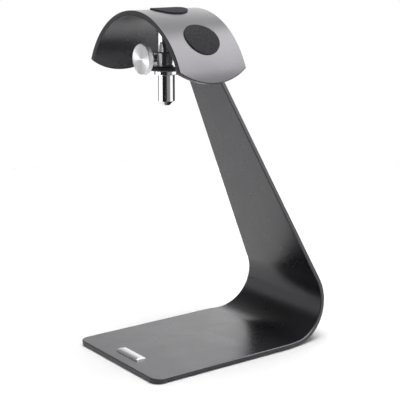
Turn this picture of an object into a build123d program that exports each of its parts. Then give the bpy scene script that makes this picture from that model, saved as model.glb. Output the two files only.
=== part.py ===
"""Headphone table stand with a height-adjustable saddle, as an assembly of separate pieces.

One tapered steel strip is bent into base, leaning leg and tongue. A clamp collar with a spigot
stands on the tongue and is held from below by a ring nut. A round post slides and swivels in two
liners inside the collar, and a thumb screw locks it. The post carries a curved saddle with three
soft pads, on which the headband rests.

Frame: +Z up, +Y from the front edge towards the leg, +X across. The origin lies on the table,
under the middle of the stand. All sizes are in millimetres and degrees.
"""
import os
from math import cos, degrees, radians, sin, sqrt

from build123d import *

# ---------------------------------------------------------------- driving dimensions
# Strip: one blank, bent twice
STRIP_THICKNESS = 4.0
BASE_WIDTH = 125.0
BASE_FLAT = 156.0            # front edge to the start of the foot bend
BASE_CORNER = 9.0            # plan radius of the two front corners
FOOT_BEND_RADIUS = 34.0      # inside radius between base and leg
LEG_LEAN = 26.0              # forward lean of the leg from vertical
NECK_BEND_RADIUS = 12.0      # inside radius between leg and tongue
TONGUE_UNDERSIDE = 252.0     # height of the tongue's underside above the table
TONGUE_WIDTH = 35.0          # at the post, and so the diameter of its round end
TAPER_LEAD = 11.0            # the taper starts this far before the foot bend
TAPER_BLEND = 70.0           # plan radius where the parallel sides turn into the taper
EDGE_ROUND = 0.8             # rounding of the strip's long edges
TONGUE_REACH = 27.0          # end of the neck bend to the post's axis

# Feet
FOOT_THICKNESS = 1.0
FOOT_DIAMETER = 14.0
FOOT_INSET = 14.0            # from the base's sides and front edge to a foot's centre
FOOT_REAR_INSET = 8.0        # from the start of the bend to a rear foot's centre

# Badge plate on the base
BADGE_LENGTH = 32.0
BADGE_WIDTH = 10.5
BADGE_RIM = 0.7              # height at its long edges
BADGE_CROWN = 0.9            # extra height along its middle
BADGE_SETBACK = 16.5         # front edge to its centre line
BADGE_CORNER = 1.0

# Post
POST_DIAMETER = 15.0
POST_DROP = 30.0             # lower end below the tongue, at the height shown
POST_TIP_CHAMFER = 3.5

# Saddle
SADDLE_RADIUS = 73.5         # outside
SADDLE_THICKNESS = 4.5
SADDLE_LENGTH = 66.0
SADDLE_RISE = 46.5           # crown above the tongue, at the height shown
SADDLE_HALF_ANGLE = 67.3     # crown to a corner
SADDLE_BULGE = 10.8          # how far the side edges swell past the corners, along the arc
SADDLE_EDGE_ROUND = 0.8
SADDLE_EDGE_STATIONS = 9     # sections through which each swelling side edge is lofted

# Pads on the saddle
PAD_DIAMETER = 31.5
PAD_THICKNESS = 1.2
PAD_SPREAD = 44.5            # crown to a side pad, as an angle
PAD_TOP_ANGLE = 4.0          # the top pad is stuck on this far to the right of the crown

# Clamp: collar with spigot, ring nut, lock washer and two liners; walls build up from the post
LINER_WALL = 1.0
SPIGOT_WALL = 1.0
COLLAR_SHOULDER = 1.5        # collar and ring nut stand out this far past the spigot
COLLAR_CHAMFER = 0.5
LINER_PROUD = 0.2
UPPER_LINER_LENGTH = 2.0
LOWER_LINER_LENGTH = 5.0
LINER_LAND = 0.15            # screw hole to the upper liner's seat
NUT_HEIGHT = 3.5
NUT_LIP = 1.0                # closed lower part that keeps the lower liner in
WASHER_WIDTH = 1.2
WASHER_THICKNESS = 0.5

# Thumb screw and its pressure pad
SCREW_AXIS_ABOVE_TONGUE = 6.0
STUD_DIAMETER = 6.0
STUD_END_CHAMFER = 0.6
HEAD_DIAMETER = 26.0
HEAD_THICKNESS = 4.5
THREAD_SHOWN = 7.5           # collar to hub, clamped
HEAD_CHAMFER = 0.6
HEAD_DISH = 0.2              # shallow turned recess in the outer face
HEAD_RIM = 1.4               # flat land left around that recess
HUB_WALL = 2.0
HUB_LENGTH = 2.2
HEAD_SOCKET_DEPTH = 4.8      # how far the stud goes into hub and head
PRESSURE_PAD_UNDERSIZE = 0.6 # smaller than the stud all round, to pass its thread
PRESSURE_PAD_THICKNESS = 0.8
PRESSURE_STEM_DIAMETER = 2.6
PRESSURE_STEM_LENGTH = 3.0
STEM_CLEARANCE = 0.05        # stem in the stud's end, on the radius
STEM_END_GAP = 0.4           # stem's end to the bottom of its hole

# Saddle screw: countersunk, hexagon socket
SADDLE_SCREW_DIAMETER = 6.0
SADDLE_SCREW_LENGTH = 16.0
SADDLE_SCREW_HEAD_HEIGHT = 2.5
SADDLE_SCREW_SINK = 0.4      # head below the saddle's crown
SADDLE_SCREW_HEX = 4.0       # across flats
SADDLE_SCREW_HEX_DEPTH = 2.2
COUNTERSINK_ANGLE = 90.0

# Clearances, on the radius unless named otherwise
SLIDE_CLEARANCE = 0.04       # post in its liners
SEAT_CLEARANCE = 0.05        # liners in the collar
POST_CLEARANCE = 0.3         # post to everything that doesn't guide it
THREAD_CLEARANCE = 0.05
HOLE_CLEARANCE = 0.15        # spigot in the tongue, washer on the spigot
CLAMP_GAP = 0.1              # pressure pad to post, so that the post can move freely
DRILL_POINT_SPARE = 2.0      # tapped hole beyond the screw's end
BORE_OVERRUN = 1.0           # cutters run past the faces that they open

# ---------------------------------------------------------------- places worked out from them
BASE_DEPTH = BASE_FLAT + FOOT_BEND_RADIUS + STRIP_THICKNESS
FRONT_Y = -BASE_DEPTH / 2
BEND_START_Y = FRONT_Y + BASE_FLAT
TAPER_START = BASE_FLAT - TAPER_LEAD
BASE_TOP = FOOT_THICKNESS + STRIP_THICKNESS
TONGUE_TOP = TONGUE_UNDERSIDE + STRIP_THICKNESS
POST_TIP_Z = TONGUE_UNDERSIDE - POST_DROP
SADDLE_TOP = TONGUE_TOP + SADDLE_RISE
SPIGOT_END = TONGUE_UNDERSIDE - WASHER_THICKNESS - NUT_HEIGHT + NUT_LIP
NUT_TOP = TONGUE_UNDERSIDE - WASHER_THICKNESS
NUT_BOTTOM = NUT_TOP - NUT_HEIGHT
SCREW_Z = TONGUE_TOP + SCREW_AXIS_ABOVE_TONGUE
SCREW_HOLE = STUD_DIAMETER / 2 + THREAD_CLEARANCE
COLLAR_TOP = SCREW_Z + SCREW_HOLE + LINER_LAND + UPPER_LINER_LENGTH - LINER_PROUD
SADDLE_INNER = SADDLE_RADIUS - SADDLE_THICKNESS
SADDLE_AXIS_Z = SADDLE_TOP - SADDLE_RADIUS
POST_RADIUS = POST_DIAMETER / 2
LINER_BORE = POST_RADIUS + SLIDE_CLEARANCE
LINER_RADIUS = LINER_BORE + LINER_WALL
LINER_SEAT = LINER_RADIUS + SEAT_CLEARANCE
SPIGOT_RADIUS = LINER_SEAT + SPIGOT_WALL
COLLAR_RADIUS = SPIGOT_RADIUS + COLLAR_SHOULDER
UPPER_LINER_TOP = COLLAR_TOP + LINER_PROUD
LOWER_LINER_TOP = SPIGOT_END + LOWER_LINER_LENGTH

os.makedirs("parts", exist_ok=True)


def save(part, label):
    """Label one finished piece and write it as its own STEP file."""
    part.label = label
    export_step(part, f"parts/{label}.step")


# ---------------------------------------------------------------- the strip's centre line
MID = STRIP_THICKNESS / 2
FOOT_ARC = FOOT_BEND_RADIUS + MID
NECK_ARC = NECK_BEND_RADIUS + MID
LEAN = radians(LEG_LEAN)
FOOT_TURN = radians(90 + LEG_LEAN)
NECK_TURN = radians(90 - LEG_LEAN)

# Leg: from the end of the foot bend, up and forward to the start of the neck bend
LEG_START_Y = BEND_START_Y + FOOT_ARC * cos(LEAN)
LEG_START_Z = BASE_TOP + FOOT_BEND_RADIUS + FOOT_ARC * sin(LEAN)
LEG_RISE = TONGUE_UNDERSIDE + MID - NECK_ARC * (1 - sin(LEAN)) - LEG_START_Z
LEG_LENGTH = LEG_RISE / cos(LEAN)
LEG_END_Y = LEG_START_Y - LEG_LENGTH * sin(LEAN)
LEG_END_Z = LEG_START_Z + LEG_RISE
TONGUE_START_Y = LEG_END_Y - NECK_ARC * cos(LEAN)
POST_Y = TONGUE_START_Y - TONGUE_REACH

# Distances along the strip from its front edge
AT_LEG_START = BASE_FLAT + FOOT_ARC * FOOT_TURN
AT_LEG_END = AT_LEG_START + LEG_LENGTH
AT_TONGUE_START = AT_LEG_END + NECK_ARC * NECK_TURN
AT_POST = AT_TONGUE_START + TONGUE_REACH


def strip_width(distance):
    """Width of the strip at a distance along it from the front edge."""
    share = max(0.0, (distance - TAPER_START) / (AT_POST - TAPER_START))
    return BASE_WIDTH + (TONGUE_WIDTH - BASE_WIDTH) * share


def strip_section(y, z, heading, distance):
    """Cross-section of the strip, square to its centre line; heading is its slope in degrees."""
    direction = (0, cos(radians(heading)), sin(radians(heading)))
    with BuildSketch(Plane(origin=(0, y, z), x_dir=(1, 0, 0), z_dir=direction)) as section:
        RectangleRounded(strip_width(distance), STRIP_THICKNESS, EDGE_ROUND)
    return section.sketch


def round_flat_edges(builder, junction_y):
    """Round the outline edges of a flat plate, all but those in its junction plane."""
    levels = builder.edges().group_by(Axis.Z)
    outline = levels[0] + levels[-1]
    fillet(outline.filter_by(lambda edge: abs(edge.center().Y - junction_y) > EDGE_ROUND), EDGE_ROUND)


bend_width = strip_width(BASE_FLAT)
with BuildPart() as base_plate:
    with BuildSketch(Plane.XY.offset(FOOT_THICKNESS)) as base_outline:
        with BuildLine():
            Polyline(
                (-BASE_WIDTH / 2, FRONT_Y),
                (BASE_WIDTH / 2, FRONT_Y),
                (BASE_WIDTH / 2, FRONT_Y + TAPER_START),
                (bend_width / 2, BEND_START_Y),
                (-bend_width / 2, BEND_START_Y),
                (-BASE_WIDTH / 2, FRONT_Y + TAPER_START),
                close=True,
            )
        make_face()
        corners = base_outline.vertices().group_by(Axis.Y)
        fillet(corners[0], BASE_CORNER)
        fillet(corners[1], TAPER_BLEND)
    extrude(amount=STRIP_THICKNESS)
    round_flat_edges(base_plate, BEND_START_Y)

with BuildPart() as tongue_plate:
    with BuildSketch(Plane.XY.offset(TONGUE_UNDERSIDE)) as tongue_outline:
        tongue_root = strip_width(AT_TONGUE_START) / 2
        with BuildLine():
            Line((-tongue_root, TONGUE_START_Y), (tongue_root, TONGUE_START_Y))
            CenterArc((0, POST_Y), TONGUE_WIDTH / 2, 0, 360)
        make_hull()
    extrude(amount=STRIP_THICKNESS)
    round_flat_edges(tongue_plate, TONGUE_START_Y)

with BuildPart() as stand_strip:
    add(base_plate.part)
    bend_start = strip_section(BEND_START_Y, FOOT_THICKNESS + MID, 0, BASE_FLAT)
    leg_start = strip_section(LEG_START_Y, LEG_START_Z, 90 + LEG_LEAN, AT_LEG_START)
    leg_end = strip_section(LEG_END_Y, LEG_END_Z, 90 + LEG_LEAN, AT_LEG_END)
    tongue_start = strip_section(TONGUE_START_Y, TONGUE_UNDERSIDE + MID, 180, AT_TONGUE_START)
    with BuildLine(Plane.YZ) as foot_path:
        CenterArc((BEND_START_Y, BASE_TOP + FOOT_BEND_RADIUS), FOOT_ARC, -90, 90 + LEG_LEAN)
    sweep(sections=[bend_start, leg_start], path=foot_path.line, multisection=True)
    loft(sections=[leg_start, leg_end])
    with BuildLine(Plane.YZ) as neck_path:
        CenterArc((TONGUE_START_Y, TONGUE_UNDERSIDE - NECK_BEND_RADIUS), NECK_ARC, LEG_LEAN, 90 - LEG_LEAN)
    sweep(sections=[leg_end, tongue_start], path=neck_path.line, multisection=True)
    add(tongue_plate.part)
    with Locations((0, POST_Y, TONGUE_TOP)):
        Hole(SPIGOT_RADIUS + HOLE_CLEARANCE, depth=STRIP_THICKNESS)
save(stand_strip.part, "stand_strip")

# ---------------------------------------------------------------- feet
foot_x = BASE_WIDTH / 2 - FOOT_INSET
foot_places = {
    "foot_front_left": (-foot_x, FRONT_Y + FOOT_INSET),
    "foot_front_right": (foot_x, FRONT_Y + FOOT_INSET),
    "foot_rear_left": (-foot_x, BEND_START_Y - FOOT_REAR_INSET),
    "foot_rear_right": (foot_x, BEND_START_Y - FOOT_REAR_INSET),
}
for foot_name, foot_place in foot_places.items():
    with BuildPart() as foot:
        with BuildSketch(Plane.XY):
            with Locations(foot_place):
                Circle(FOOT_DIAMETER / 2)
        extrude(amount=FOOT_THICKNESS)
    save(foot.part, foot_name)

# ---------------------------------------------------------------- badge plate
with BuildPart() as badge:
    with BuildSketch(Plane.YZ.offset(-BADGE_LENGTH / 2)):
        with BuildLine():
            badge_front = FRONT_Y + BADGE_SETBACK - BADGE_WIDTH / 2
            badge_rear = badge_front + BADGE_WIDTH
            crown = BASE_TOP + BADGE_RIM + BADGE_CROWN
            ThreePointArc(
                (badge_front, BASE_TOP + BADGE_RIM),
                (FRONT_Y + BADGE_SETBACK, crown),
                (badge_rear, BASE_TOP + BADGE_RIM),
            )
            Polyline(
                (badge_rear, BASE_TOP + BADGE_RIM),
                (badge_rear, BASE_TOP),
                (badge_front, BASE_TOP),
                (badge_front, BASE_TOP + BADGE_RIM),
            )
        make_face()
    extrude(amount=BADGE_LENGTH)
    fillet(badge.edges().filter_by(Axis.Z), BADGE_CORNER)
save(badge.part, "badge_plate")

# ---------------------------------------------------------------- clamp
with BuildPart() as clamp_collar:
    with BuildSketch(Plane((0, POST_Y, TONGUE_TOP))):
        Circle(COLLAR_RADIUS)
    extrude(amount=COLLAR_TOP - TONGUE_TOP)
    chamfer(clamp_collar.edges().filter_by(GeomType.CIRCLE).group_by(Axis.Z)[-1], COLLAR_CHAMFER)
    with BuildSketch(Plane((0, POST_Y, TONGUE_TOP))):
        Circle(SPIGOT_RADIUS)
    extrude(amount=SPIGOT_END - TONGUE_TOP)
    with Locations((0, POST_Y, COLLAR_TOP)):
        CounterBoreHole(POST_RADIUS + POST_CLEARANCE, LINER_SEAT, UPPER_LINER_LENGTH - LINER_PROUD)
    with BuildSketch(Plane((0, POST_Y, SPIGOT_END))):
        Circle(LINER_SEAT)
    extrude(amount=LOWER_LINER_LENGTH, mode=Mode.SUBTRACT)
    with BuildSketch(Plane((0, POST_Y, SCREW_Z), x_dir=(1, 0, 0), z_dir=(0, -1, 0))):
        Circle(SCREW_HOLE)
    extrude(amount=COLLAR_RADIUS + BORE_OVERRUN, mode=Mode.SUBTRACT)
save(clamp_collar.part, "clamp_collar")

with BuildPart() as ring_nut:
    with BuildSketch(Plane((0, POST_Y, NUT_BOTTOM))):
        Circle(COLLAR_RADIUS)
    extrude(amount=NUT_HEIGHT)
    chamfer(ring_nut.edges().filter_by(GeomType.CIRCLE), COLLAR_CHAMFER)
    with Locations((0, POST_Y, NUT_TOP)):
        CounterBoreHole(POST_RADIUS + POST_CLEARANCE, SPIGOT_RADIUS + THREAD_CLEARANCE, NUT_HEIGHT - NUT_LIP)
save(ring_nut.part, "ring_nut")

with BuildPart() as lock_washer:
    with BuildSketch(Plane((0, POST_Y, NUT_TOP))):
        Circle(SPIGOT_RADIUS + HOLE_CLEARANCE + WASHER_WIDTH)
        Circle(SPIGOT_RADIUS + HOLE_CLEARANCE, mode=Mode.SUBTRACT)
    extrude(amount=WASHER_THICKNESS)
save(lock_washer.part, "lock_washer")

liner_places = {
    "upper_liner": (UPPER_LINER_TOP, UPPER_LINER_LENGTH),
    "lower_liner": (LOWER_LINER_TOP, LOWER_LINER_LENGTH),
}
for liner_name, (liner_top, liner_length) in liner_places.items():
    with BuildPart() as liner:
        with BuildSketch(Plane((0, POST_Y, liner_top))):
            Circle(LINER_RADIUS)
            Circle(LINER_BORE, mode=Mode.SUBTRACT)
        extrude(amount=-liner_length)
    save(liner.part, liner_name)

# ---------------------------------------------------------------- thumb screw, along -Y from the post
screw_plane = Plane((0, POST_Y, SCREW_Z), x_dir=(1, 0, 0), z_dir=(0, -1, 0))
pad_tip = POST_RADIUS + CLAMP_GAP
stud_tip = pad_tip + PRESSURE_PAD_THICKNESS
hub_back = COLLAR_RADIUS + THREAD_SHOWN
head_back = hub_back + HUB_LENGTH
head_face = head_back + HEAD_THICKNESS
socket_end = hub_back + HEAD_SOCKET_DEPTH

with BuildPart() as pressure_pad:
    with BuildSketch(screw_plane.offset(pad_tip)):
        Circle(STUD_DIAMETER / 2 - PRESSURE_PAD_UNDERSIZE)
    extrude(amount=PRESSURE_PAD_THICKNESS)
    with BuildSketch(screw_plane.offset(stud_tip)):
        Circle(PRESSURE_STEM_DIAMETER / 2)
    extrude(amount=PRESSURE_STEM_LENGTH)
save(pressure_pad.part, "pressure_pad")

with BuildPart() as thumb_stud:
    with BuildSketch(screw_plane.offset(stud_tip)):
        Circle(STUD_DIAMETER / 2)
    extrude(amount=socket_end - stud_tip)
    chamfer(thumb_stud.edges().group_by(Axis.Y)[-1], STUD_END_CHAMFER)
    with BuildSketch(screw_plane.offset(stud_tip)):
        Circle(PRESSURE_STEM_DIAMETER / 2 + STEM_CLEARANCE)
    extrude(amount=PRESSURE_STEM_LENGTH + STEM_END_GAP, mode=Mode.SUBTRACT)
save(thumb_stud.part, "thumb_screw_stud")

with BuildPart() as thumb_head:
    with BuildSketch(screw_plane.offset(head_back)):
        Circle(HEAD_DIAMETER / 2)
    extrude(amount=HEAD_THICKNESS)
    chamfer(thumb_head.edges().filter_by(GeomType.CIRCLE), HEAD_CHAMFER)
    with BuildSketch(screw_plane.offset(head_face)):
        Circle(HEAD_DIAMETER / 2 - HEAD_RIM)
    extrude(amount=-HEAD_DISH, mode=Mode.SUBTRACT)
    with BuildSketch(screw_plane.offset(hub_back)):
        Circle(STUD_DIAMETER / 2 + HUB_WALL)
    extrude(amount=HUB_LENGTH)
    with BuildSketch(screw_plane.offset(hub_back)):
        Circle(STUD_DIAMETER / 2)
    extrude(amount=HEAD_SOCKET_DEPTH, mode=Mode.SUBTRACT)
save(thumb_head.part, "thumb_screw_head")

# ---------------------------------------------------------------- post
screw_top = SADDLE_TOP - SADDLE_SCREW_SINK
screw_head_radius = SADDLE_SCREW_DIAMETER / 2 + SADDLE_SCREW_HEAD_HEIGHT
tapped_end = screw_top - SADDLE_SCREW_LENGTH - DRILL_POINT_SPARE

with BuildPart() as post:
    with BuildSketch(Plane((0, POST_Y, POST_TIP_Z))):
        Circle(POST_RADIUS)
    extrude(amount=SADDLE_TOP - POST_TIP_Z)
    chamfer(post.edges().filter_by(GeomType.CIRCLE).group_by(Axis.Z)[0], POST_TIP_CHAMFER)
    with Locations((0, POST_Y, SADDLE_AXIS_Z)):
        Cylinder(SADDLE_INNER, SADDLE_LENGTH, rotation=(90, 0, 0), mode=Mode.INTERSECT)
    with BuildSketch(Plane((0, POST_Y, tapped_end))):
        Circle(SADDLE_SCREW_DIAMETER / 2 + THREAD_CLEARANCE)
    extrude(amount=SADDLE_TOP - tapped_end, mode=Mode.SUBTRACT)
save(post.part, "post")

# ---------------------------------------------------------------- saddle
bulge_radius = ((SADDLE_LENGTH / 2) ** 2 + SADDLE_BULGE**2) / (2 * SADDLE_BULGE)
trim_reach = 2 * SADDLE_RADIUS


def saddle_edge_angle(y):
    """Angle from the crown to the saddle's side edge, y in front of or behind its middle."""
    swell = sqrt(bulge_radius**2 - y**2) - (bulge_radius - SADDLE_BULGE)
    return SADDLE_HALF_ANGLE + degrees(swell / SADDLE_RADIUS)


def trim_section(y):
    """Region below the saddle's side edges at one station, bounded by lines through its axis."""
    edge = radians(saddle_edge_angle(y))
    side_x = trim_reach * sin(edge)
    side_z = trim_reach * cos(edge)
    with BuildSketch(Plane((0, POST_Y + y, SADDLE_AXIS_Z), x_dir=(1, 0, 0), z_dir=(0, -1, 0))) as region:
        with BuildLine():
            Polyline((0, 0), (side_x, side_z), (side_x, -trim_reach), (-side_x, -trim_reach),
                     (-side_x, side_z), close=True)
        make_face()
    return region.sketch


saddle_plane = Plane((0, POST_Y, SADDLE_AXIS_Z), x_dir=(1, 0, 0), z_dir=(0, -1, 0))
with BuildPart() as saddle_trim:
    trim_half = SADDLE_LENGTH / 2
    spacing = SADDLE_LENGTH / (SADDLE_EDGE_STATIONS - 1)
    stations = [n * spacing - trim_half for n in range(SADDLE_EDGE_STATIONS)]
    loft(sections=[trim_section(y) for y in stations])

with BuildPart() as saddle:
    with BuildSketch(saddle_plane):
        Circle(SADDLE_RADIUS)
        Circle(SADDLE_INNER, mode=Mode.SUBTRACT)
    extrude(amount=SADDLE_LENGTH / 2, both=True)
    add(saddle_trim.part, mode=Mode.SUBTRACT)
    fillet(saddle.edges(), SADDLE_EDGE_ROUND)
    with Locations((0, POST_Y, screw_top)):
        CounterSinkHole(
            SADDLE_SCREW_DIAMETER / 2 + THREAD_CLEARANCE,
            screw_head_radius + THREAD_CLEARANCE,
            depth=SADDLE_THICKNESS + BORE_OVERRUN,
            counter_sink_angle=COUNTERSINK_ANGLE,
        )
save(saddle.part, "saddle")

with BuildPart() as saddle_screw:
    with BuildSketch(Plane((0, POST_Y, screw_top))):
        Circle(SADDLE_SCREW_DIAMETER / 2)
    extrude(amount=-SADDLE_SCREW_LENGTH)
    with Locations((0, POST_Y, screw_top - SADDLE_SCREW_HEAD_HEIGHT / 2)):
        Cone(SADDLE_SCREW_DIAMETER / 2, screw_head_radius, SADDLE_SCREW_HEAD_HEIGHT)
    with BuildSketch(Plane((0, POST_Y, screw_top))):
        RegularPolygon(SADDLE_SCREW_HEX / 2, 6, major_radius=False)
    extrude(amount=-SADDLE_SCREW_HEX_DEPTH, mode=Mode.SUBTRACT)
save(saddle_screw.part, "saddle_screw")

# ---------------------------------------------------------------- pads
pad_angles = {"pad_left": -PAD_SPREAD, "pad_top": PAD_TOP_ANGLE, "pad_right": PAD_SPREAD}
for pad_name, pad_angle in pad_angles.items():
    turn = radians(pad_angle)
    outward = (sin(turn), 0, cos(turn))
    along = (cos(turn), 0, -sin(turn))
    with BuildPart() as pad:
        with BuildSketch(Plane((0, POST_Y, SADDLE_AXIS_Z), x_dir=along, z_dir=outward)):
            Circle(PAD_DIAMETER / 2)
        extrude(amount=SADDLE_RADIUS + 2 * PAD_THICKNESS)
        with Locations((0, POST_Y, SADDLE_AXIS_Z)):
            Cylinder(SADDLE_RADIUS + PAD_THICKNESS, SADDLE_LENGTH, rotation=(90, 0, 0), mode=Mode.INTERSECT)
            Cylinder(SADDLE_RADIUS, SADDLE_LENGTH, rotation=(90, 0, 0), mode=Mode.SUBTRACT)
    save(pad.part, pad_name)
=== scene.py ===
"""Finishes, detailed pieces and studio for the headphone table stand.

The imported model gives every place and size. Classes below build or dress one sub-assembly each,
and the studio adds floor, light and camera. Lengths are in metres.
"""

import logging
import math
from collections.abc import Callable
from dataclasses import dataclass, field
from enum import Enum

import bmesh
import bpy
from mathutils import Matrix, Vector

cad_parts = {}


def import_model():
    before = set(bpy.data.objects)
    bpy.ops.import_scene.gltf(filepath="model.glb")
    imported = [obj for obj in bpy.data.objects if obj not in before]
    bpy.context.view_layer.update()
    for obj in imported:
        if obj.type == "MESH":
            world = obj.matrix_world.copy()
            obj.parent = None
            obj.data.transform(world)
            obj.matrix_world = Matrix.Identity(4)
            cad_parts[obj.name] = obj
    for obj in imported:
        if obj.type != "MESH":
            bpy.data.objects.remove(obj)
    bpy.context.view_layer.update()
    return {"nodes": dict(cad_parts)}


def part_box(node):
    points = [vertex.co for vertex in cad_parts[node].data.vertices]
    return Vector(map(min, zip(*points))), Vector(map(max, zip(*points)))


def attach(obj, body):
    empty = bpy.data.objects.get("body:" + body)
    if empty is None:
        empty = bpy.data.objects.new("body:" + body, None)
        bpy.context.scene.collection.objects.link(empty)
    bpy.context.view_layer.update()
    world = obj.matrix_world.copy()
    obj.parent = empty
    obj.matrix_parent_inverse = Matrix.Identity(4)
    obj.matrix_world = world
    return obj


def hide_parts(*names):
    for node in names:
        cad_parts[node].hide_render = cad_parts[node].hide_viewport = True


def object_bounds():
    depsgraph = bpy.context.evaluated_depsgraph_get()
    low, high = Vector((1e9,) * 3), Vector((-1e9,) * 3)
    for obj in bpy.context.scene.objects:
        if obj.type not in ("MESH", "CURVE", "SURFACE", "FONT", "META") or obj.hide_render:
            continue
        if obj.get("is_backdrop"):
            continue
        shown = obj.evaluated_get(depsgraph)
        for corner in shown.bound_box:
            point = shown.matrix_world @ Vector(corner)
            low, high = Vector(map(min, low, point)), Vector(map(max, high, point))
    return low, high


LOG = logging.getLogger("headphone_stand")
MM = 0.001
ACROSS_GROOVES = 0.25  # turn of the glint, as a share of a full one, so that it spreads across lathe grooves
Colour = tuple[float, float, float]
Socket = bpy.types.NodeSocket
Ring = tuple[float, float | Callable[[float], float]]


class TurningAxis(Enum):
    """Direction of the line that a turned surface was made round."""

    UPRIGHT = (0.0, 0.0, 1.0)
    FORWARD = (0.0, -1.0, 0.0)


class Slot(Enum):
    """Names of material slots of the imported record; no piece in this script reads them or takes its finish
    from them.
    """

    BADGE = "badge_metal"
    FOOT = "foot_rubber"
    PAD = "pad_rubber"
    TURNED = "turned_steel"
    PLAIN = "plain_steel"


class Graph:
    """A node tree with short calls for adding nodes and joining their sockets."""

    def __init__(self, tree: bpy.types.NodeTree) -> None:
        """Keep the tree that nodes are added to."""
        self.tree = tree

    def node(self, kind: str, inputs: dict | None = None, **settings: object) -> bpy.types.Node:
        """Add one node.

        Args:
            kind: Blender's name of the node type.
            inputs: values or sockets, by the name or the number of the input.
            settings: attributes of the node itself.

        Returns:
            The new node.
        """
        made = self.tree.nodes.new(kind)
        for name, value in settings.items():
            setattr(made, name, value)
        for key, value in (inputs or {}).items():
            if isinstance(value, bpy.types.NodeSocket):
                self.tree.links.new(value, made.inputs[key])
            else:
                made.inputs[key].default_value = value
        return made

    def math(self, operation: str, *values: float | Socket, clamp: bool = False) -> Socket:
        """Add a Math node.

        Args:
            operation: Blender's name of the operation.
            values: its numbers or sockets, in order.
            clamp: whether the result is held between 0 and 1.

        Returns:
            The result socket.
        """
        inputs = dict(enumerate(values))
        return self.node("ShaderNodeMath", inputs, operation=operation, use_clamp=clamp).outputs[0]

    def vector(self, operation: str, *values: Socket | tuple[float, float, float]) -> bpy.types.Node:
        """Add a Vector Math node.

        Args:
            operation: Blender's name of the operation.
            values: its vectors or sockets, in order.

        Returns:
            The new node.
        """
        return self.node("ShaderNodeVectorMath", dict(enumerate(values)), operation=operation)

    def ramp(
        self, value: Socket, low: float, high: float, to_low: float = 0.0, to_high: float = 1.0
    ) -> Socket:
        """Move a value smoothly from one range to another.

        Args:
            value: the socket to read.
            low: value at which the change starts.
            high: value at which it ends.
            to_low: result up to low.
            to_high: result from high on.

        Returns:
            The result socket.
        """
        inputs = {"Value": value, "From Min": low, "From Max": high, "To Min": to_low, "To Max": to_high}
        return self.node("ShaderNodeMapRange", inputs, interpolation_type="SMOOTHSTEP").outputs["Result"]

    def blend(self, share: Socket, low: Colour | Socket, high: Colour | Socket) -> Socket:
        """Blend two colours.

        Args:
            share: 0 gives the low colour and 1 the high one.
            low: first colour.
            high: second colour.

        Returns:
            The colour socket.
        """
        made = self.node("ShaderNodeMix", {0: share}, data_type="RGBA")
        for number, value in ((6, low), (7, high)):
            if isinstance(value, bpy.types.NodeSocket):
                self.tree.links.new(value, made.inputs[number])
            else:
                made.inputs[number].default_value = (*value, 1.0)
        return made.outputs[2]


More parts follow.
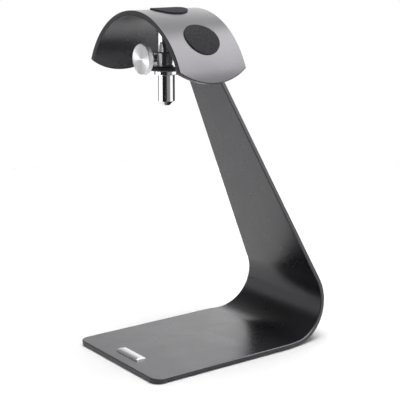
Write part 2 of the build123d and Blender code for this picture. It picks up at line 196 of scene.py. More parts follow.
@dataclass
class Effects:
    """Shader node groups that several finishes share, each built once."""

    grain: bpy.types.NodeTree = field(init=False)
    smudges: bpy.types.NodeTree = field(init=False)
    edge_wear: bpy.types.NodeTree = field(init=False)
    turning: bpy.types.NodeTree = field(init=False)
    brushing: bpy.types.NodeTree = field(init=False)

    def __post_init__(self) -> None:
        """Build every group."""
        self.grain = self._grain()
        self.smudges = self._smudges()
        self.edge_wear = self._edge_wear()
        self.turning = self._turning()
        self.brushing = self._brushing()

    @staticmethod
    def _group(name: str, inputs: dict[str, tuple[str, object]], outputs: dict[str, str]) -> tuple:
        """Start a node group.

        Args:
            name: name of the group.
            inputs: socket type and default of each input.
            outputs: socket type of each output.

        Returns:
            The group, its graph, its input node and its output node.
        """
        tree = bpy.data.node_groups.new(name, "ShaderNodeTree")
        for label, (kind, default) in inputs.items():
            socket = tree.interface.new_socket(label, in_out="INPUT", socket_type=kind)
            socket.default_value = default
        for label, kind in outputs.items():
            tree.interface.new_socket(label, in_out="OUTPUT", socket_type=kind)
        graph = Graph(tree)
        return tree, graph, graph.node("NodeGroupInput"), graph.node("NodeGroupOutput")

    def _grain(self) -> bpy.types.NodeTree:
        """Fine random grain of a coat, a moulding or a foam skin."""
        inputs = {"Size": ("NodeSocketFloat", 0.0005), "Contrast": ("NodeSocketFloat", 1.0)}
        outputs = {"Tone": "NodeSocketFloat", "Height": "NodeSocketFloat"}
        tree, graph, given, result = self._group("fine_grain", inputs, outputs)
        place = graph.node("ShaderNodeTexCoord").outputs["Object"]
        rate = graph.math("DIVIDE", 1.0, given.outputs["Size"])
        coarse = graph.node("ShaderNodeTexNoise", {"Vector": place, "Scale": rate, "Detail": 2.0})
        cells = graph.node("ShaderNodeTexVoronoi", {"Vector": place, "Scale": rate}, feature="SMOOTH_F1")
        raised = graph.math("ADD", cells.outputs["Distance"], 0.6)
        both = graph.math("MULTIPLY", coarse.outputs["Fac"], raised)
        centred = graph.math("MULTIPLY", graph.math("SUBTRACT", both, 0.5), given.outputs["Contrast"])
        tone = graph.math("ADD", centred, 0.5, clamp=True)
        graph.tree.links.new(tone, result.inputs["Tone"])
        graph.tree.links.new(both, result.inputs["Height"])
        return tree

    def _smudges(self) -> bpy.types.NodeTree:
        """Broad soft patches where a surface was wiped or handled."""
        inputs = {"Size": ("NodeSocketFloat", 0.03), "Strength": ("NodeSocketFloat", 1.0)}
        tree, graph, given, result = self._group("handling_smudges", inputs, {"Tone": "NodeSocketFloat"})
        place = graph.node("ShaderNodeTexCoord").outputs["Object"]
        rate = graph.math("DIVIDE", 1.0, given.outputs["Size"])
        patchy = {"Vector": place, "Scale": rate, "Detail": 2.0, "Distortion": 0.3}
        noise = graph.node("ShaderNodeTexNoise", patchy)
        soft = graph.ramp(noise.outputs["Fac"], 0.3, 0.7)
        tone = graph.math("MULTIPLY", soft, given.outputs["Strength"], clamp=True)
        graph.tree.links.new(tone, result.inputs["Tone"])
        return tree

    def _edge_wear(self) -> bpy.types.NodeTree:
        """Narrow, broken line along sharp edges where a finish has rubbed."""
        inputs = {"Width": ("NodeSocketFloat", 0.0004), "Amount": ("NodeSocketFloat", 1.0)}
        tree, graph, given, result = self._group("edge_wear", inputs, {"Mask": "NodeSocketFloat"})
        rounded = graph.node("ShaderNodeBevel", {"Radius": given.outputs["Width"]}, samples=4)
        surface = graph.node("ShaderNodeNewGeometry").outputs["Normal"]
        turn = graph.vector("DOT_PRODUCT", rounded.outputs[0], surface).outputs["Value"]
        edge = graph.ramp(turn, 0.94, 0.7)
        place = graph.node("ShaderNodeTexCoord").outputs["Object"]
        patches = graph.node("ShaderNodeTexNoise", {"Vector": place, "Scale": 180.0, "Detail": 3.0})
        broken = graph.math("MULTIPLY", edge, graph.ramp(patches.outputs["Fac"], 0.35, 0.65))
        mask = graph.math("MULTIPLY", broken, given.outputs["Amount"], clamp=True)
        graph.tree.links.new(mask, result.inputs["Mask"])
        return tree

    def _turning(self) -> bpy.types.NodeTree:
        """Fine rings left by a lathe tool, on sides and end faces alike."""
        inputs = {
            "Centre": ("NodeSocketVector", (0.0, 0.0, 0.0)),
            "Axis": ("NodeSocketVector", (0.0, 0.0, 1.0)),
            "Pitch": ("NodeSocketFloat", 0.0002),
        }
        outputs = {"Tone": "NodeSocketFloat", "Height": "NodeSocketFloat"}
        tree, graph, given, result = self._group("lathe_turning", inputs, outputs)
        place = graph.node("ShaderNodeTexCoord").outputs["Object"]
        offset = graph.vector("SUBTRACT", place, given.outputs["Centre"]).outputs[0]
        axis = given.outputs["Axis"]
        along = graph.vector("DOT_PRODUCT", offset, axis).outputs["Value"]
        across = graph.vector("CROSS_PRODUCT", offset, axis).outputs[0]
        radius = graph.vector("LENGTH", across).outputs["Value"]
        path = graph.math("ADD", along, radius)
        station = graph.math("DIVIDE", path, given.outputs["Pitch"])
        rings = graph.node(
            "ShaderNodeTexNoise", {"W": station, "Scale": 1.0, "Detail": 3.0}, noise_dimensions="1D"
        )
        tone = graph.ramp(rings.outputs["Fac"], 0.3, 0.7)
        graph.tree.links.new(tone, result.inputs["Tone"])
        graph.tree.links.new(rings.outputs["Fac"], result.inputs["Height"])
        return tree

    def _brushing(self) -> bpy.types.NodeTree:
        """Straight hairlines along the X direction."""
        inputs = {"Pitch": ("NodeSocketFloat", 0.0002), "Length": ("NodeSocketFloat", 0.02)}
        outputs = {"Tone": "NodeSocketFloat", "Height": "NodeSocketFloat"}
        tree, graph, given, result = self._group("straight_brushing", inputs, outputs)
        place = graph.node("ShaderNodeTexCoord").outputs["Object"]
        rates = graph.node(
            "ShaderNodeCombineXYZ",
            {
                "X": graph.math("DIVIDE", 1.0, given.outputs["Length"]),
                "Y": graph.math("DIVIDE", 1.0, given.outputs["Pitch"]),
                "Z": graph.math("DIVIDE", 1.0, given.outputs["Pitch"]),
            },
        )
        scaled = graph.vector("MULTIPLY", place, rates.outputs[0]).outputs[0]
        lines = graph.node("ShaderNodeTexNoise", {"Vector": scaled, "Scale": 1.0, "Detail": 2.0})
        tone = graph.ramp(lines.outputs["Fac"], 0.3, 0.7)
        graph.tree.links.new(tone, result.inputs["Tone"])
        graph.tree.links.new(lines.outputs["Fac"], result.inputs["Height"])
        return tree


class Shading:
    """A new material with its Principled shader and a graph to feed it."""

    def __init__(self, name: str, **plain: object) -> None:
        """Start the material; plain values are set on the shader's own sockets."""
        self.material = bpy.data.materials.new(name)
        self.material.use_nodes = True
        self.graph = Graph(self.material.node_tree)
        self.shader = self.material.node_tree.nodes["Principled BSDF"]
        for label, value in plain.items():
            self.shader.inputs[label.replace("_", " ").title().replace("Ior", "IOR")].default_value = value

    def use(self, group: bpy.types.NodeTree, **inputs: object) -> bpy.types.Node:
        """Place a shared effect.

        Args:
            group: the node group.
            inputs: its own values in this finish.

        Returns:
            The group node.
        """
        made = self.graph.node("ShaderNodeGroup", node_tree=group)
        for label, value in inputs.items():
            made.inputs[label.title()].default_value = value
        return made

    def feed(self, label: str, socket: Socket) -> None:
        """Join a socket to an input of the shader."""
        self.graph.tree.links.new(socket, self.shader.inputs[label])

    def bump(self, height: Socket, depth: float, strength: float) -> None:
        """Turn a height into the shader's normal.

        Args:
            height: the height socket, 0 to 1.
            depth: what a height of 1 stands for, in metres.
            strength: share of the effect, 0 to 1.
        """
        made = self.graph.node("ShaderNodeBump", {"Height": height, "Distance": depth, "Strength": strength})
        self.feed("Normal", made.outputs["Normal"])


@dataclass(frozen=True)
class CoatFinish:
    """Satin anthracite coat with a fine orange peel and faint rubbing on its edges."""

    name: str = "anthracite_coat"
    colour: Colour = (0.0046, 0.0043, 0.0054)
    fleck: Colour = (0.0068, 0.0064, 0.0079)
    rubbed: Colour = (0.05, 0.05, 0.055)
    sheen: Colour = (0.975, 0.94, 1.0)
    roughness: float = 0.27
    wiped_roughness: float = 0.31
    ior: float = 1.55
    grain_size: float = 0.45 * MM
    grain_depth: float = 0.006 * MM
    grain_strength: float = 0.12
    smudge_size: float = 26.0 * MM
    wear_width: float = 0.5 * MM
    wear_amount: float = 0.2

    def build(self, effects: Effects) -> bpy.types.Material:
        """Make the material from the shared effects."""
        made = Shading(self.name, ior=self.ior, specular_tint=(*self.sheen, 1.0))
        grain = made.use(effects.grain, size=self.grain_size, contrast=1.0)
        smudges = made.use(effects.smudges, size=self.smudge_size, strength=1.0)
        wear = made.use(effects.edge_wear, width=self.wear_width, amount=self.wear_amount)
        coat = made.graph.blend(grain.outputs["Tone"], self.colour, self.fleck)
        made.feed("Base Color", made.graph.blend(wear.outputs["Mask"], coat, self.rubbed))
        rough = made.graph.ramp(smudges.outputs["Tone"], 0.0, 1.0, self.roughness, self.wiped_roughness)
        made.feed("Roughness", rough)
        made.bump(grain.outputs["Height"], self.grain_depth, self.grain_strength)
        return made.material


@dataclass(frozen=True)
class TurnedMetalFinish:
    """Bare metal with rings from the lathe round its own axis."""

    name: str
    colour: Colour
    shaded: Colour
    roughness: float
    ring_roughness: float
    centre: tuple[float, float, float]
    axis: TurningAxis = TurningAxis.UPRIGHT
    pitch: float = 0.25 * MM
    depth: float = 0.002 * MM
    anisotropy: float = 0.0
    smudge_size: float = 9.0 * MM

    def build(self, effects: Effects) -> bpy.types.Material:
        """Make the material from the shared effects."""
        made = Shading(self.name, metallic=1.0, anisotropic=self.anisotropy)
        rings = made.use(effects.turning, centre=self.centre, axis=self.axis.value, pitch=self.pitch)
        smudges = made.use(effects.smudges, size=self.smudge_size, strength=0.5)
        made.feed("Base Color", made.graph.blend(rings.outputs["Tone"], self.shaded, self.colour))
        uneven = made.graph.math("ADD", rings.outputs["Tone"], smudges.outputs["Tone"], clamp=True)
        rough = made.graph.ramp(uneven, 0.0, 1.0, self.roughness, self.ring_roughness)
        made.feed("Roughness", rough)
        made.bump(rings.outputs["Height"], self.depth, 0.5)
        if self.anisotropy:
            made.shader.inputs["Anisotropic Rotation"].default_value = ACROSS_GROOVES
            letter = "Y" if self.axis is TurningAxis.FORWARD else "Z"
            tangent = made.graph.node("ShaderNodeTangent", direction_type="RADIAL", axis=letter)
            made.feed("Tangent", tangent.outputs[0])
        return made.material


@dataclass(frozen=True)
class BrushedPlateFinish:
    """Bright plate with straight hairlines."""

    name: str = "badge_metal"
    colour: Colour = (0.50, 0.50, 0.51)
    shaded: Colour = (0.38, 0.38, 0.39)
    roughness: float = 0.22
    line_roughness: float = 0.34
    line_pitch: float = 0.15 * MM
    line_length: float = 12.0 * MM
    line_depth: float = 0.004 * MM
    wear_width: float = 0.3 * MM
    wear_amount: float = 0.5

    def build(self, effects: Effects) -> bpy.types.Material:
        """Make the material from the shared effects."""
        made = Shading(self.name, metallic=1.0)
        lines = made.use(effects.brushing, pitch=self.line_pitch, length=self.line_length)
        wear = made.use(effects.edge_wear, width=self.wear_width, amount=self.wear_amount)
        plate = made.graph.blend(lines.outputs["Tone"], self.shaded, self.colour)
        made.feed("Base Color", made.graph.blend(wear.outputs["Mask"], plate, self.colour))
        rough = made.graph.ramp(lines.outputs["Tone"], 0.0, 1.0, self.line_roughness, self.roughness)
        made.feed("Roughness", rough)
        made.bump(lines.outputs["Height"], self.line_depth, 0.5)
        return made.material


@dataclass(frozen=True)
class SoftFinish:
    """Matt rubber or foam skin, or plain moulded plastic, with its grain."""

    name: str
    colour: Colour
    fleck: Colour
    roughness: float
    grain_size: float
    grain_depth: float
    specular: float = 0.3
    worn_roughness: float = 0.6
    smudge_size: float = 7.0 * MM

    def build(self, effects: Effects) -> bpy.types.Material:
        """Make the material from the shared effects."""
        made = Shading(self.name, specular_ior_level=self.specular)
        grain = made.use(effects.grain, size=self.grain_size, contrast=3.0)
        smudges = made.use(effects.smudges, size=self.smudge_size, strength=1.0)
        made.feed("Base Color", made.graph.blend(grain.outputs["Tone"], self.colour, self.fleck))
        rough = made.graph.ramp(smudges.outputs["Tone"], 0.0, 1.0, self.roughness, self.worn_roughness)
        made.feed("Roughness", rough)
        made.bump(grain.outputs["Height"], self.grain_depth, 0.8)
        return made.material


@dataclass(frozen=True)
class TurningLine:
    """Line that a turned mesh is built round."""

    origin: Vector
    along: Vector
    side: Vector

    def point(self, distance: float, radius: float, angle: float) -> Vector:
        """Point at a distance along the line, a radius out and an angle round it."""
        across = self.side * math.cos(angle) + self.along.cross(self.side) * math.sin(angle)
        return self.origin + self.along * distance + across * radius


def new_piece(
    name: str, builder: bmesh.types.BMesh, material: bpy.types.Material, crease: float = 32.0
) -> bpy.types.Object:
    """Make an object from a finished mesh builder.

    Args:
        name: name of the piece.
        builder: the mesh, which is freed here.
        material: its finish.
        crease: angle in degrees above which an edge is shaded sharp.

    Returns:
        The new object, linked into the scene.
    """
    bmesh.ops.recalc_face_normals(builder, faces=builder.faces)
    mesh = bpy.data.meshes.new(name)
    builder.to_mesh(mesh)
    builder.free()
    mesh.polygons.foreach_set("use_smooth", [True] * len(mesh.polygons))
    mesh.set_sharp_from_angle(angle=math.radians(crease))
    mesh.materials.append(material)
    piece = bpy.data.objects.new(name, mesh)
    bpy.context.scene.collection.objects.link(piece)
    return piece


def turned_mesh(line: TurningLine, rings: list[Ring], segments: int) -> bmesh.types.BMesh:
    """Build a closed turned solid.

    Args:
        line: what it is turned round.
        rings: distance along the line and radius, or radius for each angle, from pole to pole.
        segments: points round each ring.

    Returns:
        The mesh builder.
    """
    builder = bmesh.new()
    angles = [math.tau * n / segments for n in range(segments)]
    loops = []
    for distance, given in rings[1:-1]:
        radii = [given(a) if callable(given) else given for a in angles]
        loops.append([builder.verts.new(line.point(distance, r, a)) for r, a in zip(radii, angles)])
    poles = [builder.verts.new(line.point(distance, 0.0, 0.0)) for distance, _ in (rings[0], rings[-1])]
    for low, high in zip(loops, loops[1:]):
        for n in range(segments):
            after = (n + 1) % segments
            builder.faces.new((low[n], low[after], high[after], high[n]))
    for pole, loop in ((poles[0], loops[0]), (poles[1], loops[-1])):
        for n in range(segments):
            builder.faces.new((pole, loop[n], loop[(n + 1) % segments]))
    return builder


def dress(node: bpy.types.Object, material: bpy.types.Material) -> None:
    """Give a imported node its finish."""
    node.data.materials.clear()
    node.data.materials.append(material)
    LOG.info("dressed %s with %s", node.name, material.name)


def settle(piece: bpy.types.Object, body: str, node: str) -> None:
    """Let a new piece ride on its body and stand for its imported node.

    Args:
        piece: the new piece.
        body: body that it moves with.
        node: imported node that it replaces.
    """
    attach(piece, body)
    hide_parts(node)
    LOG.info("built %s on %s: %d faces", piece.name, body, len(piece.data.polygons))


@dataclass
class Stand:
    """Bent strip with its four feet and the plain badge plate."""

    nodes: dict[str, bpy.types.Object]
    effects: Effects
    coat: bpy.types.Material
    foot_rounding: float = 0.15 * MM
    foot_groove: float = 0.2 * MM
    foot_segments: int = 96
    badge_rim: float = 0.7 * MM
    badge_corner: float = 1.0 * MM
    badge_rounding: float = 0.3 * MM
    badge_groove_at: float = 0.95 * MM
    badge_groove_width: float = 0.3 * MM
    badge_groove_depth: float = 0.1 * MM
    badge_step: float = 0.14 * MM

    def build(self) -> None:
        """Dress the strip and build feet and badge."""
        dress(self.nodes["stand_strip"], self.coat)
        rubber = SoftFinish(
            "foot_rubber", (0.012, 0.012, 0.013), (0.02, 0.02, 0.021),
            roughness=0.7, worn_roughness=0.85, grain_size=0.3 * MM, grain_depth=0.02 * MM,
        ).build(self.effects)
        for corner in ("front_left", "front_right", "rear_left", "rear_right"):
            self._foot(corner, rubber)
        self._badge(BrushedPlateFinish().build(self.effects))

    def _foot(self, corner: str, rubber: bpy.types.Material) -> None:
        """Build one foot: a rounded rubber disc with two grooves in its sole.

        Args:
            corner: which corner of the base it is at.
            rubber: its finish.
        """
        low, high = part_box(f"foot_{corner}")
        radius = (high.x - low.x) / 2
        line = TurningLine(
            Vector(((low.x + high.x) / 2, (low.y + high.y) / 2, 0.0)), Vector((0, 0, 1)), Vector((1, 0, 0))
        )
        rounding, groove = self.foot_rounding, self.foot_groove
        rings: list[Ring] = [(low.z, 0.0)]
        for share in (0.4, 0.7):
            rings += [
                (low.z, radius * share - groove),
                (low.z + groove, radius * share),
                (low.z + groove, radius * share + groove),
                (low.z, radius * share + 2 * groove),
            ]
        rings += [
            (low.z, radius - rounding),
            (low.z + rounding * 0.3, radius - rounding * 0.3),
            (low.z + rounding, radius),
            (high.z - rounding, radius),
            (high.z, radius - rounding),
            (high.z, 0.0),
        ]
        piece = new_piece(f"rubber_foot_{corner}", turned_mesh(line, rings, self.foot_segments), rubber)
        settle(piece, "stand", f"foot_{corner}")

    def _badge_height(self, x: float, y: float, half: Vector, crown: float) -> float:
        """Height of the badge plate's face above its underside.

        Args:
            x: place along the plate, from its middle.
            y: place across it, from its middle.
            half: half its length and width.
            crown: extra height along its middle line.

        Returns:
            The height there.
        """
        corner = self.badge_corner
        reach_x, reach_y = abs(x) - half.x + corner, abs(y) - half.y + corner
        outside = math.hypot(max(reach_x, 0.0), max(reach_y, 0.0)) + min(max(reach_x, reach_y), 0.0)
        inside = max(corner - outside, 0.0)
        height = self.badge_rim + crown * (1 - (y / half.y) ** 2)
        if inside < self.badge_rounding:
            height -= self.badge_rounding * (1 - math.sqrt(1 - (1 - inside / self.badge_rounding) ** 2))
        if abs(inside - self.badge_groove_at) < self.badge_groove_width / 2:
            height -= self.badge_groove_depth
        return height

    def _badge(self, metal: bpy.types.Material) -> None:
        """Build the badge plate: crowned, rounded at its rim, with one plain border groove."""
        low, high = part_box("badge_plate")
        middle, half = (low + high) / 2, (high - low) / 2
        crown = high.z - low.z - self.badge_rim
        columns = round(2 * half.x / self.badge_step)
        rows = round(2 * half.y / self.badge_step)
        builder = bmesh.new()
        grid = []
        for i in range(columns + 1):
            x = half.x * (2 * i / columns - 1)
            past = max(abs(x) - half.x + self.badge_corner, 0.0)
            width = half.y - self.badge_corner + math.sqrt(max(self.badge_corner**2 - past**2, 0.0))
            column = []
            for j in range(rows + 1):
                y = width * (2 * j / rows - 1)
                height = self._badge_height(x, y, half, crown)
                column.append(builder.verts.new((middle.x + x, middle.y + y, low.z + height)))
            grid.append(column)
        for left, right in zip(grid, grid[1:]):
            for j in range(rows):
                builder.faces.new((left[j], right[j], right[j + 1], left[j + 1]))
        rim = [c[0] for c in grid] + grid[-1][1:] + [c[-1] for c in reversed(grid[:-1])] + grid[0][-2:0:-1]
        foot = [builder.verts.new((v.co.x, v.co.y, low.z)) for v in rim]
        for n, vertex in enumerate(rim):
            after = (n + 1) % len(rim)
            builder.faces.new((vertex, foot[n], foot[after], rim[after]))
        builder.faces.new(foot)
        piece = new_piece("plain_badge", builder, metal)
        settle(piece, "stand", "badge_plate")


@dataclass
class Clamp:
    """Collar, ring nut, lock washer and the two plastic liners round the post."""

    nodes: dict[str, bpy.types.Object]
    effects: Effects
    polished: bpy.types.Material
    plain: bpy.types.Material

    def build(self) -> None:
        """Dress the clamp's pieces."""
        for name in ("clamp_collar", "ring_nut"):
            dress(self.nodes[name], self.polished)
        dress(self.nodes["lock_washer"], self.plain)
        plastic = SoftFinish(
            "liner_plastic", (0.010, 0.010, 0.011), (0.016, 0.016, 0.017),
            roughness=0.35, worn_roughness=0.45, grain_size=0.2 * MM, grain_depth=0.005 * MM, specular=0.5,
        ).build(self.effects)
        for name in ("upper_liner", "lower_liner"):
            dress(self.nodes[name], plastic)


@dataclass
class ThumbScrew:
    """Knurled thumb screw with its threaded stud and brass pressure pad."""

    nodes: dict[str, bpy.types.Object]
    effects: Effects
    head_thickness: float = 4.5 * MM
    hub_radius: float = 5.0 * MM
    chamfer: float = 0.6 * MM
    face_recess: float = 0.2 * MM
    face_rim: float = 1.4 * MM
    hub_fillet: float = 0.4 * MM
    socket_depth: float = 4.8 * MM
    teeth: int = 72
    tooth_depth: float = 0.3 * MM
    thread_pitch: float = 1.0 * MM
    thread_depth: float = 0.6 * MM
    steps_per_turn: int = 12
    stem_hole_radius: float = 1.35 * MM
    stem_hole_depth: float = 3.4 * MM
    tip_chamfer: float = 0.6 * MM

    def _line(self) -> TurningLine:
        """Axis of the screw, from the back of its threaded end towards its head."""
        low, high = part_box("thumb_screw_stud")
        middle = (low + high) / 2
        return TurningLine(Vector((middle.x, 0.0, middle.z)), Vector((0, -1, 0)), Vector((1, 0, 0)))

    def build(self) -> None:
        """Build head and stud, and dress the pressure pad."""
        line = self._line()
        centre = tuple(line.origin)
        turned = TurnedMetalFinish(
            "turned_steel", (0.88, 0.88, 0.89), (0.80, 0.80, 0.81),
            roughness=0.42, ring_roughness=0.46, centre=centre, axis=TurningAxis.FORWARD,
            pitch=0.2 * MM, depth=0.001 * MM, anisotropy=0.9,
        ).build(self.effects)
        plain = TurnedMetalFinish(
            "thread_steel", (0.42, 0.42, 0.43), (0.26, 0.26, 0.27),
            roughness=0.3, ring_roughness=0.42, centre=centre, axis=TurningAxis.FORWARD,
            pitch=0.3 * MM, depth=0.003 * MM,
        ).build(self.effects)
        brass = TurnedMetalFinish(
            "tip_brass", (0.78, 0.58, 0.27), (0.6, 0.42, 0.18),
            roughness=0.25, ring_roughness=0.4, centre=centre, axis=TurningAxis.FORWARD,
            pitch=0.2 * MM, depth=0.003 * MM,
        ).build(self.effects)
        self._head(line, turned)
        self._stud(line, plain)
        dress(self.nodes["pressure_pad"], brass)

    def _tooth(self, angle: float) -> float:
        """Share of a tooth's depth at an angle round the head, 0 on its crest."""
        phase = (angle * self.teeth / math.tau) % 1.0
        return min(1.0, 1.4 * abs(2 * phase - 1))

    def _head(self, line: TurningLine, steel: bpy.types.Material) -> None:
        """Build the head: recessed face, knurled rim, hub and socket."""
        low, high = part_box("thumb_screw_head")
        face, back = -low.y, -high.y
        radius = (high.x - low.x) / 2
        head_back = face - self.head_thickness
        recess, rim, chamfer = self.face_recess, self.face_rim, self.chamfer
        stud_low, stud_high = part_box("thumb_screw_stud")
        stud_radius = (stud_high.x - stud_low.x) / 2

        def knurl(angle: float) -> float:
            """Radius of the knurled rim at an angle."""
            return radius - self.tooth_depth * self._tooth(angle)

        rings: list[Ring] = [
            (face - recess * 1.6, 0.0),
            (face - recess * 1.5, 0.5 * MM),
            (face - recess, 0.9 * MM),
        ]
        rings += [(face - recess, (radius - rim) * share) for share in (0.35, 0.6, 0.8)]
        rings += [
            (face - recess, radius - rim - 0.15 * MM),
            (face, radius - rim),
            (face, radius - chamfer),
            (face - chamfer * 0.5, radius - self.tooth_depth),
            (face - chamfer, knurl),
            (face - chamfer - 0.1 * MM, knurl),
            (head_back + chamfer + 0.1 * MM, knurl),
            (head_back + chamfer, knurl),
            (head_back + chamfer * 0.5, radius - self.tooth_depth),
            (head_back, radius - chamfer),
            (head_back, self.hub_radius + self.hub_fillet),
            (head_back - self.hub_fillet * 0.3, self.hub_radius + self.hub_fillet * 0.3),
            (head_back - self.hub_fillet, self.hub_radius),
            (back + 0.25 * MM, self.hub_radius),
            (back, self.hub_radius - 0.25 * MM),
            (back, stud_radius),
            (back + self.socket_depth, stud_radius),
            (back + self.socket_depth, 0.0),
        ]
        piece = new_piece("knurled_head", turned_mesh(line, rings, self.teeth * 6), steel)
        settle(piece, "thumb_screw", "thumb_screw_head")

    def _stud(self, line: TurningLine, steel: bpy.types.Material) -> None:
        """Build the stud with its right-hand thread and the hole for the pad's stem."""
        low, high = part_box("thumb_screw_stud")
        tip, end = -high.y, -low.y
        major = (high.x - low.x) / 2

        def thread(distance: float) -> Callable[[float], float]:
            """Radius of the thread round one station."""
            fade = min(1.0, (distance - tip) / self.tip_chamfer, (end - distance) / self.tip_chamfer)

            def radius(angle: float) -> float:
                """Radius of the thread at an angle."""
                phase = (distance / self.thread_pitch - angle / math.tau) % 1.0
                flank = min(1.0, max(0.0, 1.25 - 2.5 * abs(2 * phase - 1) + 0.5))
                return major - self.thread_depth + self.thread_depth * flank * max(fade, 0.0)

            return radius

        count = round((end - tip) / self.thread_pitch * self.steps_per_turn)
        rings: list[Ring] = [
            (tip + self.stem_hole_depth, 0.0),
            (tip + self.stem_hole_depth, self.stem_hole_radius),
            (tip, self.stem_hole_radius),
        ]
        for n in range(count + 1):
            distance = tip + (end - tip) * n / count
            rings.append((distance, thread(distance)))
        rings.append((end, 0.0))
        piece = new_piece("threaded_stud", turned_mesh(line, rings, 64), steel, 50.0)
        settle(piece, "thumb_screw", "thumb_screw_stud")


@dataclass
class Carriage:
    """Post with the saddle, its screw and the three soft pads."""

    nodes: dict[str, bpy.types.Object]
    effects: Effects
    coat: bpy.types.Material
    polished: bpy.types.Material
    plain: bpy.types.Material
    pad_spread: float = 44.5
    pad_top_angle: float = 4.0
    pad_thickness: float = 1.2 * MM
    pad_rounding: float = 0.45 * MM
    pad_radius: float = 15.75 * MM
    saddle_radius: float = 73.5 * MM
    segments: int = 128

    def build(self) -> None:
        """Dress post, saddle and screw, and build the pads."""
        dress(self.nodes["saddle"], self.coat)
        dress(self.nodes["post"], self.polished)
        dress(self.nodes["saddle_screw"], self.plain)
        skin = SoftFinish(
            "pad_skin", (0.024, 0.023, 0.025), (0.058, 0.056, 0.06),
            roughness=0.9, worn_roughness=0.98, grain_size=0.55 * MM, grain_depth=0.12 * MM, specular=0.04,
        ).build(self.effects)
        turns = {"left": -self.pad_spread, "top": self.pad_top_angle, "right": self.pad_spread}
        for side, turn in turns.items():
            self._pad(side, math.radians(turn), skin)

    def _pad(self, side: str, turn: float, skin: bpy.types.Material) -> None:
        """Build one pad: a foam disc that follows the saddle, soft at its rim.

        Args:
            side: which pad it is.
            turn: its angle from the crown.
            skin: its finish.
        """
        low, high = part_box("saddle")
        axis_point = Vector(((low.x + high.x) / 2, (low.y + high.y) / 2, high.z - self.saddle_radius))
        outward = Vector((math.sin(turn), 0.0, math.cos(turn)))
        along = Vector((math.cos(turn), 0.0, -math.sin(turn)))
        rounding, radius, full = self.pad_rounding, self.pad_radius, self.pad_thickness

        def place(reach: float, angle: float, height: float) -> Vector:
            """Point of the pad at a reach and angle from its middle, a height above the saddle."""
            across, depth = reach * math.cos(angle), reach * math.sin(angle)
            rise = math.sqrt((self.saddle_radius + height) ** 2 - across**2)
            return axis_point + along * across + Vector((0.0, depth, 0.0)) + outward * rise

        arc = [math.radians(a) for a in (0, 15, 30, 45, 60, 75, 90)]
        profile = [(radius * share, 0.0) for share in (0.25, 0.5, 0.75, 0.95)] + [(radius, 0.0)]
        inner, lower_edge = radius - rounding, full - rounding
        profile += [(inner + rounding * math.cos(a), lower_edge + rounding * math.sin(a)) for a in arc]
        profile += [(radius * share, full) for share in (0.95, 0.85, 0.7, 0.5, 0.3, 0.12)]
        builder = bmesh.new()
        loops = []
        angles = [math.tau * n / self.segments for n in range(self.segments)]
        for reach, height in profile:
            loops.append([builder.verts.new(place(reach, a, height)) for a in angles])
        for lower, upper in zip(loops, loops[1:]):
            for n in range(self.segments):
                after = (n + 1) % self.segments
                builder.faces.new((lower[n], lower[after], upper[after], upper[n]))
        for height, loop in ((0.0, loops[0]), (full, loops[-1])):
            pole = builder.verts.new(place(0.0, 0.0, height))
            for n in range(self.segments):
                builder.faces.new((pole, loop[n], loop[(n + 1) % self.segments]))
        piece = new_piece(f"soft_pad_{side}", builder, skin, 60.0)
        settle(piece, "carriage", f"pad_{side}")


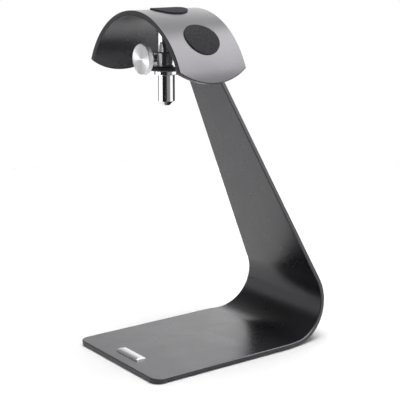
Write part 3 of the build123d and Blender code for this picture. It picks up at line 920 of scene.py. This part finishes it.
@dataclass
class Studio:
    """Floor, surroundings, lamps and camera."""

    azimuth: float = 53.9
    elevation: float = 13.04
    distance: float = 1.0018
    aim: tuple[float, float, float] = (0.0026, -0.0077, -0.0174)
    lens: float = 101.9
    floor_radius: float = 0.85
    floor_tone: float = 0.8
    flag_tone: float = 0.04
    flag_direction: tuple[float, float, float] = (-0.81, -0.59, 0.0)
    flag_reach: tuple[float, float] = (0.4, 0.5)
    ambient: float = 0.42
    overhead: float = 3.3
    overhead_angle: float = 50.0
    key_power: float = 24.0
    key_size: tuple[float, float] = (1.8, 0.8)
    key_direction: tuple[float, float, float] = (0.43, 0.574, 0.69)
    key_distance: float = 1.2

    def build(self) -> None:
        """Set up the whole studio."""
        bpy.context.scene.view_settings.view_transform = "Standard"
        low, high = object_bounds()
        middle = (low + high) / 2
        self._floor()
        self._surroundings()
        self._lamps(middle, high)
        self._camera(middle)
        LOG.info("studio ready")

    def _floor(self) -> None:
        """Lay the pale round floor, which shiny faces see dark beyond a line at the front left."""
        builder = bmesh.new()
        bmesh.ops.create_circle(builder, cap_ends=True, segments=128, radius=self.floor_radius)
        made = Shading("studio_floor", roughness=1.0, specular_ior_level=0.0)
        place = made.graph.node("ShaderNodeTexCoord").outputs["Object"]
        ahead = made.graph.vector("DOT_PRODUCT", place, self.flag_direction).outputs["Value"]
        flag = made.graph.ramp(ahead, *self.flag_reach)
        ray = made.graph.node("ShaderNodeLightPath")
        flagged = made.graph.math("MULTIPLY", ray.outputs["Is Glossy Ray"], flag)
        tones = (self.floor_tone,) * 3, (self.flag_tone,) * 3
        made.feed("Base Color", made.graph.blend(flagged, *tones))
        floor = new_piece("studio_floor", builder, made.material)
        floor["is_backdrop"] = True

    def _surroundings(self) -> None:
        """Light the surroundings: white where the camera looks, soft cards and dark gaps elsewhere."""
        world = bpy.data.worlds.new("studio_surroundings")
        world.use_nodes = True
        bpy.context.scene.world = world
        graph = Graph(world.node_tree)
        direction = graph.node("ShaderNodeTexCoord").outputs["Generated"]
        parts = graph.node("ShaderNodeSeparateXYZ", {0: direction})
        x, y, z = (parts.outputs[n] for n in range(3))
        bearing = graph.math("ARCTAN2", x, graph.math("MULTIPLY", y, -1.0))
        turn = graph.math("ADD", graph.math("DIVIDE", bearing, math.tau), 0.5)
        low_cards = self._cards(graph, turn, {
            -180: 0.02, -130: 0.02, -122: 1.3, -76: 1.3, -68: 0.4, -46: 0.4, -36: 3.4, 0: 3.4,
            8: 0.02, 60: 0.02, 76: 0.3, 108: 0.3, 118: 1.4, 152: 1.4, 160: 0.02,
        })
        high_cards = self._cards(graph, turn, {
            -180: 1.7, -165: 1.95, -130: 1.82, -118: 1.33, -105: 1.0, -80: 0.6, -66: 1.05, -44: 1.05,
            -25: 0.3, 0: 0.05, 60: 0.05, 90: 0.6, 120: 3.8, 150: 3.8,
        })
        sky = self._cards(graph, turn, {
            -180: 2.3, -130: 2.3, -112: 0.4, -80: 0.15, 0: 0.05, 80: 0.5, 110: 3.6, 160: 3.6,
        })
        above = graph.ramp(z, -0.04, 0.02)
        upper = graph.ramp(z, 0.3, 0.42)
        ring = graph.blend(above, low_cards, high_cards)
        reflected = graph.blend(upper, ring, sky)
        ray = graph.node("ShaderNodeLightPath")
        lighting = graph.blend(ray.outputs["Is Diffuse Ray"], reflected, (self.ambient,) * 3)
        seen = graph.blend(ray.outputs["Is Camera Ray"], lighting, (1.0, 1.0, 1.0))
        light = graph.tree.nodes["Background"]
        graph.tree.links.new(seen, light.inputs["Color"])

    @staticmethod
    def _cards(graph: Graph, turn: Socket, tones: dict[int, float]) -> Socket:
        """Tone of the cards round the horizon.

        Args:
            graph: graph of the surroundings.
            turn: bearing as a share of a full turn, 0.5 in front.
            tones: tone at each bearing in degrees, 0 in front and 90 to the right.

        Returns:
            The colour socket.
        """
        made = graph.node("ShaderNodeValToRGB", {0: turn})
        stops = made.color_ramp.elements
        for degrees, tone in tones.items():
            stop = stops[0] if degrees == -180 else stops.new(degrees / 360 + 0.5)
            stop.color = (tone, tone, tone, 1.0)
        stops[len(stops) - 1].color = stops[0].color
        return made.outputs["Color"]

    def _lamps(self, middle: Vector, high: Vector) -> None:
        """Hang the overhead light and the long softbox behind the saddle.

        Args:
            middle: middle of the stand.
            high: highest corner of its box.
        """
        sun = bpy.data.lights.new("overhead_light", "SUN")
        sun.energy = self.overhead
        sun.angle = math.radians(self.overhead_angle)
        lamp = bpy.data.objects.new("overhead_light", sun)
        softbox = bpy.data.lights.new("softbox", "AREA")
        softbox.shape = "RECTANGLE"
        softbox.size, softbox.size_y = self.key_size
        softbox.energy = self.key_power
        panel = bpy.data.objects.new("softbox", softbox)
        direction = Vector(self.key_direction).normalized()
        panel.location = Vector((middle.x, middle.y, high.z)) + direction * self.key_distance
        panel.rotation_mode = "QUATERNION"
        panel.rotation_quaternion = direction.to_track_quat("Z", "Y")
        panel.visible_diffuse = False
        for made in (lamp, panel):
            made.visible_camera = False
            bpy.context.scene.collection.objects.link(made)

    def _camera(self, middle: Vector) -> None:
        """Place the camera on the stand's front right."""
        around, up = math.radians(self.azimuth), math.radians(self.elevation)
        back = Vector((math.sin(around) * math.cos(up), -math.cos(around) * math.cos(up), math.sin(up)))
        view = bpy.data.cameras.new("main_camera")
        view.lens = self.lens
        camera = bpy.data.objects.new("main_camera", view)
        camera.location = middle + Vector(self.aim) + back * self.distance
        camera.rotation_mode = "QUATERNION"
        camera.rotation_quaternion = (-back).to_track_quat("-Z", "Y")
        bpy.context.scene.collection.objects.link(camera)
        bpy.context.scene.camera = camera


def main() -> None:
    """Build the whole scene in order."""
    logging.basicConfig(level=logging.INFO, format="%(message)s")
    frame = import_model()
    nodes = frame["nodes"]
    effects = Effects()
    coat = CoatFinish().build(effects)
    post_low, post_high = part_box("post")
    post_centre = ((post_low.x + post_high.x) / 2, (post_low.y + post_high.y) / 2, 0.0)
    polished = TurnedMetalFinish(
        "polished_steel", (0.80, 0.80, 0.81), (0.70, 0.70, 0.71),
        roughness=0.06, ring_roughness=0.11, centre=post_centre,
    ).build(effects)
    plain = TurnedMetalFinish(
        "plain_steel", (0.50, 0.50, 0.51), (0.36, 0.36, 0.37),
        roughness=0.3, ring_roughness=0.42, centre=post_centre,
    ).build(effects)
    Stand(nodes, effects, coat).build()
    Clamp(nodes, effects, polished, plain).build()
    ThumbScrew(nodes, effects).build()
    Carriage(nodes, effects, coat, polished, plain).build()
    Studio().build()


if __name__ == "__main__":
    main()
